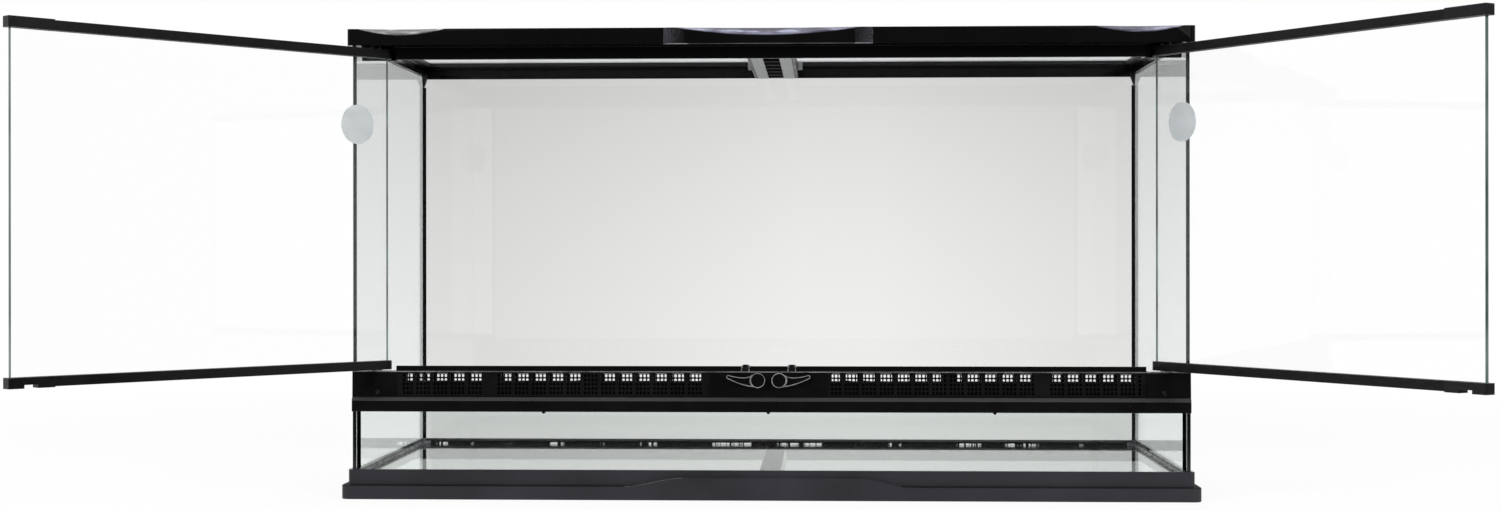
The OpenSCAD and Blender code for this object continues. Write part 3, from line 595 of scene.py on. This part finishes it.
# How far the scoops, the block's face and the foot's edge reach back from the rim's front.
SCOOP_REACH, BLOCK_REACH, FOOT_REACH = 12 * MM, 1.2 * MM, 2 * MM
# How far below the rim's top the scoops' painted reflection ends.
SCOOP_BRINK = 0.4 * MM

rim = dress("top_frame", M_RIM, 0.8 * MM, 3, chosen=lambda first, last: (
    (first - last).length > SHORT_EDGE and max(first.z, last.z) < BELOW_SCOOPS))
rim_low, rim_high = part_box("top_frame")
front_foot = min(vertex.co.z for vertex in rim.data.vertices if vertex.co.y < rim_low.y + CLOSE)


def on_block_end(x):
    return any(low < x < high for low, high in BLOCK_ENDS)


def on_scoop(middle, normal):
    return normal.z > 0.45 and normal.y < -0.45 and middle.y < rim_low.y + SCOOP_REACH


def on_foot_edge(middle, normal):
    slopes_down = normal.y < -0.2 and normal.z < -0.2
    return slopes_down and middle.y < rim_low.y + FOOT_REACH and middle.z < front_foot + CLOSE


# The scoops' slopes get a painted reflection, the left end scoop a near white one.
touch_up(rim, M_SCOOP_REFLECTION, lambda middle, normal: (
    on_scoop(middle, normal) and middle.z < rim_high.z - SCOOP_BRINK))
touch_up(rim, M_END_SCOOP_REFLECTION, lambda middle, normal: (
    on_scoop(middle, normal) and middle.x < END_SCOOP))
# The block's ends get a painted reflection.
touch_up(rim, M_BLOCK_END_REFLECTION, lambda middle, normal: (
    normal.y < -0.9 and middle.y < rim_low.y + BLOCK_REACH and on_block_end(middle.x)))
# The rim's foot edge gets a painted highlight, a brighter one on the block's ends.
touch_up(rim, M_RIM_FOOT_HIGHLIGHT, on_foot_edge)
touch_up(rim, M_BLOCK_END_HIGHLIGHT, lambda middle, normal: (
    on_foot_edge(middle, normal) and on_block_end(middle.x)))

dress("corner_gussets", M_RIM, 0.5 * MM)
dress("centre_brace", M_SCREEN, 0.5 * MM)
dress("brace_strips", M_FELT, 0.35 * MM, 3)
dress("brace_clips", M_GREY, 0.8 * MM, 3)


# ---- silicone ----

for seam in ("silicone_back", "silicone_floor", "silicone_front"):
    dress(seam, M_SEAL, 0.15 * MM, 1)


# ---- vent strip ----

# The levels of the long bevel under the grille, whose light grey is a painted highlight.
BEVEL_BAND = (105 * MM, 111 * MM)
# The level of the ledge's top, and the place along Y that its front edge lies in front of.
LEDGE_TOP, LEDGE_FRONT = 137.5 * MM, -185 * MM
# Only the strip's edges that are longer than this are rounded.
LONG_EDGE = 12 * MM

vent = dress("vent_strip", M_VENT, 0.8 * MM, 3, chosen=longer_than(LONG_EDGE))
# The long bevel gets a painted highlight.
touch_up(vent, M_VENT_BEVEL_HIGHLIGHT, lambda middle, normal: (
    BEVEL_BAND[0] < middle.z < BEVEL_BAND[1] and normal.y < -0.2 and normal.z > 0.2))
# The ledge's front edge gets a painted highlight.
touch_up(vent, M_LEDGE_HIGHLIGHT, lambda middle, normal: (
    abs(middle.z - LEDGE_TOP) < CLOSE and middle.y < LEDGE_FRONT and normal.y < -0.2 and normal.z > 0.2))
for side in ("left", "right"):
    dress("hinge_cover_" + side, M_VENT, 0.3 * MM)

# Each catch's middle along X, the rounding of its two upper corners, and the rim and sink of its front.
CATCH_X, CATCH_ARCH = 25 * MM, 2.2 * MM
CATCH_RIM, CATCH_SINK = 1.3 * MM, 0.3 * MM
# The edges that run from a catch's front to its back are longer than this along Y.
CATCH_DEPTH = 1.5 * MM
catch_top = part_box("door_catches")[1].z
catches = dress("door_catches", M_CATCH, CATCH_ARCH, 4, chosen=lambda first, last: (
    min(first.z, last.z) > catch_top - CLOSE and abs(first.y - last.y) > CATCH_DEPTH))
on_catch_rim = ring_front(catches, CATCH_RIM, CATCH_SINK)
# The rim round each catch's front gets a painted highlight.
touch_up(catches, M_CATCH_HIGHLIGHT, lambda middle, normal: (
    on_catch_rim(middle, normal) and abs(abs(middle.x) - CATCH_X) > CATCH_ARCH))
# The bottom bushes' pale lilac grey is a painted reflection.
dress("bottom_bushes", M_BUSH_REFLECTION, 0.4 * MM, 3)
dress("top_bushes", M_CATCH, 0.3 * MM)

# The grille's fields of holes begin at FIELD_INNER. The holes stand in groups of columns, a pitch apart and
# shifted to the left, and those beyond the outer posts stand nearer to the middle by a step.
FIELD_INNER, OUTER_POST = 65.2 * MM, 296 * MM
GROUP_PITCH, GROUP_SHIFT, GROUP_STEP = 18.7 * MM, 4.3 * MM, 5.2 * MM
COLUMN_PITCH, GROUP_COLUMNS = 4.07 * MM, 4
# The holes' rows, the web between two holes, and the rounding of a hole's corners.
HOLE_ROWS, HOLE_WEB, HOLE_ROUND = 5, 1.4 * MM, 0.9 * MM


def hole_columns(low_x, high_x):
    """Middles of the columns of holes in one field. The groups beyond the outer post stand nearer."""
    columns = []
    reach = math.ceil(max(abs(low_x), abs(high_x)) / GROUP_PITCH) + 1
    for k in range(-reach, reach + 1):
        middle = GROUP_PITCH * k - GROUP_SHIFT
        if abs(middle) + GROUP_PITCH / 2 > OUTER_POST:
            middle -= math.copysign(GROUP_STEP, middle)
            if abs(middle) - GROUP_PITCH / 2 < OUTER_POST:
                continue
        for i in range(GROUP_COLUMNS):
            x = middle + (i - (GROUP_COLUMNS - 1) / 2) * COLUMN_PITCH
            if low_x + COLUMN_PITCH / 2 < x < high_x - COLUMN_PITCH / 2:
                columns.append(x)
    return columns


def perforated(low, high):
    """A flat sheet between two corners, with rows of rounded holes in groups of columns."""
    columns = hole_columns(low.x, high.x)
    lines = [low.x]
    for x in columns:
        lines += [x - COLUMN_PITCH / 2, x + COLUMN_PITCH / 2]
    lines = [x for i, x in enumerate(lines + [high.x]) if i == 0 or x - lines[i - 1] > SAME_PLACE]
    row = (high.z - low.z) / HOLE_ROWS
    bpy.ops.mesh.primitive_plane_add(size=1, location=(0, 0, 0))
    plate = bpy.context.object
    bpy.ops.object.mode_set(mode="EDIT")
    bpy.ops.mesh.select_all(action="SELECT")
    bpy.ops.transform.translate(value=(0.5, 0.5, 0))
    bpy.ops.transform.resize(value=(lines[1] - lines[0], row, 1), center_override=(0, 0, 0))
    bpy.ops.transform.rotate(value=math.radians(-90), orient_axis="X", center_override=(0, 0, 0))
    bpy.ops.object.mode_set(mode="OBJECT")
    pick(plate, "edges", lambda middle: middle.z > row * 0.9)
    for _ in range(HOLE_ROWS - 1):
        bpy.ops.mesh.extrude_edges_move(TRANSFORM_OT_translate={"value": (0, 0, row)})
    pick(plate, "edges", lambda middle: middle.x > (lines[1] - lines[0]) * 0.9)
    for before, after in zip(lines[1:], lines[2:]):
        bpy.ops.mesh.extrude_edges_move(TRANSFORM_OT_translate={"value": (after - before, 0, 0)})
    bpy.ops.mesh.select_all(action="SELECT")
    bpy.ops.transform.translate(value=low)
    bpy.ops.mesh.normals_make_consistent(inside=False)

    def in_a_hole(middle):
        from_row = abs((middle.z - low.z) / row % 1 - 0.5)
        return from_row < 0.1 and min(abs(middle.x - x) for x in columns) < SAME_PLACE

    pick(plate, "polygons", in_a_hole)
    bpy.ops.mesh.inset(thickness=HOLE_WEB / 2, use_individual=True)
    bpy.ops.mesh.bevel(offset=HOLE_ROUND, segments=2, affect="VERTICES")
    pick(plate, "polygons", in_a_hole)
    bpy.ops.mesh.delete(type="ONLY_FACE")
    bpy.ops.mesh.select_all(action="DESELECT")
    bpy.ops.object.mode_set(mode="OBJECT")
    return plate


grille_low, grille_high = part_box("vent_grille")
fields = []
for low_x, high_x in ((grille_low.x, -FIELD_INNER), (FIELD_INNER, grille_high.x)):
    low_corner = Vector((low_x, grille_low.y, grille_low.z))
    high_corner = Vector((high_x, grille_high.y, grille_high.z))
    fields.append(perforated(low_corner, high_corner))
grille = join("vent_grille_finish", fields)
wall = grille.modifiers.new("wall", "SOLIDIFY")
wall.thickness = grille_high.y - grille_low.y
wall.offset = -1
apply_all(grille)
smooth(grille, 40)
grille.data.materials.append(M_GRILLE)
stands_for(grille, "vent_grille")


# The screw head's rounding and the length and width of its recess, as shares of its radius.
HEAD_ROUND, RECESS_LENGTH, RECESS_WIDTH = 0.28, 1.25, 0.28


def screw_head(name, centre, radius, height):
    """A domed head with a cross recess, facing the front."""
    bpy.ops.mesh.primitive_cylinder_add(vertices=32, radius=radius, depth=height, location=centre,
                                        rotation=(math.radians(90), 0, 0))
    head = bpy.context.object
    settle(head)
    soften(head, radius * HEAD_ROUND, 3)
    slots = []
    for wide, tall in ((RECESS_LENGTH, RECESS_WIDTH), (RECESS_WIDTH, RECESS_LENGTH)):
        bpy.ops.mesh.primitive_cube_add(size=1, location=centre - Vector((0, height / 2, 0)))
        slot = bpy.context.object
        slot.scale = (radius * wide, height, radius * tall)
        settle(slot)
        slots.append(slot)
    for slot in slots:
        cut = head.modifiers.new("recess", "BOOLEAN")
        cut.operation = "DIFFERENCE"
        cut.object = slot
        cut.solver = "EXACT"
    apply_all(head)
    for slot in slots:
        bpy.data.objects.remove(slot)
    smooth(head)
    head.name = name
    head.data.materials.append(M_SCREW)
    return head


screw_low, screw_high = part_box("cover_screws")
screw_middle = (screw_low + screw_high) / 2
screw_radius = (screw_high.z - screw_low.z) / 2
heads = []
for x in (screw_low.x + screw_radius, screw_high.x - screw_radius):
    centre = Vector((x, screw_middle.y, screw_middle.z))
    heads.append(screw_head("screw", centre, screw_radius, screw_high.y - screw_low.y))
stands_for(join("cover_screws_finish", heads), "cover_screws")


# ---- doors ----

# How far up or down the normals of a rail's rounded edges point, which get a painted highlight.
EDGE_TILT = (0.25, 0.95)

for side in ("left", "right"):
    door = side + "_door_"
    for rail in ("top_rail", "bottom_rail"):
        piece = dress(door + rail, M_RAIL, 0.7 * MM, 3)
        touch_up(piece, M_RAIL_HIGHLIGHT, lambda middle, normal: EDGE_TILT[0] < abs(normal.z) < EDGE_TILT[1])
    dress(door + "clips", M_CATCH, 0.3 * MM)
    dress(door + "pins", M_STEEL, 0.3 * MM)
    dress(door + "disc", M_DISC, 0.12 * MM)


# ---- latches ----

# The width of the raised rim on a knob's front, and how deep the face inside it lies.
KNOB_RIM, KNOB_SINK = 0.85 * MM, 0.35 * MM


def latch_knob(side):
    """A knob whose lever and head each have a raised rim, with a painted highlight, round a sunk dark face.
    """
    node = "latch_knob_" + side
    knob = copy_of_node(node)
    knob.data.materials.append(M_LATCH)
    touch_up(knob, M_LATCH_HIGHLIGHT, ring_front(knob, KNOB_RIM, KNOB_SINK))
    soften(knob, 0.25 * MM)
    stands_for(knob, node)


for side in ("left", "right"):
    latch_knob(side)
    dress("latch_shaft_" + side, M_STEEL, 0.3 * MM)
    dress("latch_washer_" + side, M_STEEL, 0.2 * MM)


# ---- screens ----

WIRE_PITCH, WIRE_R = 3.0 * MM, 0.12 * MM


def wires(low, high, along_x, height):
    """A row of straight wires across a rectangle, all along X or all along Y."""
    size = high - low
    length, span = (size.x, size.y) if along_x else (size.y, size.x)
    count = math.floor(span / WIRE_PITCH)
    step = span / count
    middle = (low + high) / 2
    if along_x:
        first, turn = (middle.x, low.y + step / 2, height), (0, math.radians(90), 0)
    else:
        first, turn = (low.x + step / 2, middle.y, height), (math.radians(90), 0, 0)
    bpy.ops.mesh.primitive_cylinder_add(vertices=6, radius=WIRE_R, depth=length,
                                        location=first, rotation=turn)
    wire = bpy.context.object
    settle(wire)
    repeat = wire.modifiers.new("repeat", "ARRAY")
    repeat.count = count
    repeat.use_relative_offset = False
    repeat.use_constant_offset = True
    repeat.constant_offset_displace = (0, step, 0) if along_x else (step, 0, 0)
    apply_all(wire)
    smooth(wire, 70)
    return wire


for side in ("left", "right"):
    dress("screen_frame_" + side, M_SCREEN, 0.5 * MM)
    dress("screen_spline_" + side, M_RUBBER, 0.7 * MM, 3)
    low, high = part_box("screen_mesh_" + side)
    middle_z = (low.z + high.z) / 2
    mesh = join("screen_mesh_" + side + "_finish", [
        wires(low, high, True, middle_z + WIRE_R / 2),
        wires(low, high, False, middle_z - WIRE_R / 2),
    ])
    mesh.data.materials.append(M_WIRE)
    stands_for(mesh, "screen_mesh_" + side)


# ---- floor, light and camera ----

WHITE = (1.0, 1.0, 1.0)
# The floor's size, how far it reaches towards the front, and its gap under the base.
FLOOR_SIDE, FLOOR_FRONT, FLOOR_GAP = 30.0, 0.5, 0.2 * MM
# How much of the lamps' light shows on the floor as shadow, and their level on open floor.
SHADOW_SHARE, OPEN_LIGHT = 0.12, 0.9
# The shadow fades between these distances from the tank.
SHADOW_NEAR, SHADOW_FAR = 0.8, 2.0


def studio_floor():
    """A white floor that ends in front of the tank. Eye, gloss and glass see it white, less its shadow."""
    middle = (0, FLOOR_SIDE / 2 - FLOOR_FRONT, -FLOOR_GAP)
    bpy.ops.mesh.primitive_plane_add(size=FLOOR_SIDE, location=middle)
    ground = bpy.context.object
    ground.name = "studio_floor"
    settle(ground)
    skin = Shader("studio_white")
    lit = skin.fill(skin.add("ShaderNodeBsdfDiffuse"), Color=scaled(WHITE, 0.92))
    away = skin.add("ShaderNodeVectorMath", operation="LENGTH")
    skin.link(skin.place, away.inputs[0])
    near = skin.remap(away.outputs["Value"], SHADOW_NEAR, SHADOW_FAR, 1, 0)
    far = skin.fill(skin.add("ShaderNodeEmission"), Color=WHITE, Strength=1.0)
    own = skin.fill(skin.add("ShaderNodeEmission"), Color=WHITE, Strength=1 - SHADOW_SHARE * OPEN_LIGHT)
    shade = skin.fill(skin.add("ShaderNodeBsdfDiffuse"), Color=scaled(WHITE, SHADOW_SHARE))
    under = skin.add("ShaderNodeAddShader")
    skin.link(own.outputs[0], under.inputs[0])
    skin.link(shade.outputs[0], under.inputs[1])
    rays = skin.add("ShaderNodeLightPath").outputs
    eye = skin.math("MAXIMUM", rays["Is Camera Ray"], rays["Is Transmission Ray"])
    eye = skin.math("MAXIMUM", eye, rays["Is Glossy Ray"])
    mixed = skin.blend(eye, lit, skin.blend(near, far, under))
    skin.link(mixed.outputs[0], skin.out.inputs["Surface"])
    ground.data.materials.append(skin.material)


studio_floor()


def softbox(name, at, aim, size, watts):
    """A rectangular area lamp that faces its aim."""
    lamp = bpy.data.lights.new(name, "AREA")
    lamp.shape = "RECTANGLE"
    lamp.size, lamp.size_y = size
    lamp.energy = watts
    obj = bpy.data.objects.new(name, lamp)
    bpy.context.scene.collection.objects.link(obj)
    obj.location = at
    obj.rotation_euler = (Vector(aim) - Vector(at)).to_track_quat("-Z", "Y").to_euler()


softbox("light_over", (0.0, -0.06, 1.7), (0, -0.10, 0.5), (2.2, 0.12), 0.9)
softbox("light_left", (-2.4, -2.6, 1.9), (0, 0, 0.25), (1.2, 1.2), 78)
softbox("light_right", (2.4, -2.4, 1.7), (0, 0, 0.25), (1.2, 1.2), 62)

# The world's strength as a lamp, and how bright the room in front and overhead is beside the white behind.
WORLD_FILL = 0.6
FRONT_ROOM, OVERHEAD = 0.07, 0.6
# The parts of the direction to the back and upwards between which one level passes into the next.
FRONT_ENDS, BACK_BEGINS = -0.30, 0.20
LEVEL_ENDS, OVERHEAD_BEGINS = 0.35, 0.75


def studio_world():
    """White to the eye and through glass. Lamplight and gloss get a dim room in front of that white."""
    world = bpy.data.worlds.new("studio")
    world.use_nodes = True
    tree = world.node_tree
    tree.nodes.clear()

    def add(kind, *inputs, **values):
        """Adds a node whose first sockets get the inputs."""
        node = tree.nodes.new(kind)
        for key, value in values.items():
            setattr(node, key, value)
        for socket, value in zip(node.inputs, inputs):
            if isinstance(value, bpy.types.NodeSocket):
                tree.links.new(value, socket)
            else:
                socket.default_value = value
        return node

    rays = add("ShaderNodeLightPath").outputs
    seen = add("ShaderNodeMath", rays["Is Camera Ray"], rays["Is Transmission Ray"], operation="MAXIMUM")
    towards = add("ShaderNodeSeparateXYZ", add("ShaderNodeTexCoord").outputs["Generated"])
    behind = add("ShaderNodeMapRange", towards.outputs["Y"], FRONT_ENDS, BACK_BEGINS, FRONT_ROOM, 1.0)
    above = add("ShaderNodeMapRange", towards.outputs["Z"], LEVEL_ENDS, OVERHEAD_BEGINS, 0.0, OVERHEAD)
    level = add("ShaderNodeMath", behind.outputs[0], above.outputs[0], operation="MAXIMUM")
    fill = add("ShaderNodeMath", level.outputs[0], WORLD_FILL, operation="MULTIPLY")
    room = add("ShaderNodeBackground", (0.95, 0.97, 1.0, 1), fill.outputs[0])
    gloss = add("ShaderNodeBackground", (*WHITE, 1), level.outputs[0])
    white = add("ShaderNodeBackground", (*WHITE, 1), 1.0)
    shiny = add("ShaderNodeMixShader", rays["Is Glossy Ray"], room.outputs[0], gloss.outputs[0])
    final = add("ShaderNodeMixShader", seen.outputs[0], shiny.outputs[0], white.outputs[0])
    add("ShaderNodeOutputWorld", final.outputs[0])
    bpy.context.scene.world = world


studio_world()
bpy.context.scene.view_settings.view_transform = "Standard"

lens = bpy.data.cameras.new("main_camera")
lens.lens = CAMERA_LENS
lens.sensor_width = CAMERA_SENSOR
lens.sensor_fit = "HORIZONTAL"
lens.clip_start, lens.clip_end = CAMERA_SEES
camera = bpy.data.objects.new("main_camera", lens)
bpy.context.scene.collection.objects.link(camera)
camera.location = CAMERA_AT
camera.rotation_euler = [math.radians(turn) for turn in (90 + CAMERA_PITCH, CAMERA_ROLL, CAMERA_YAW)]
bpy.context.scene.camera = camera
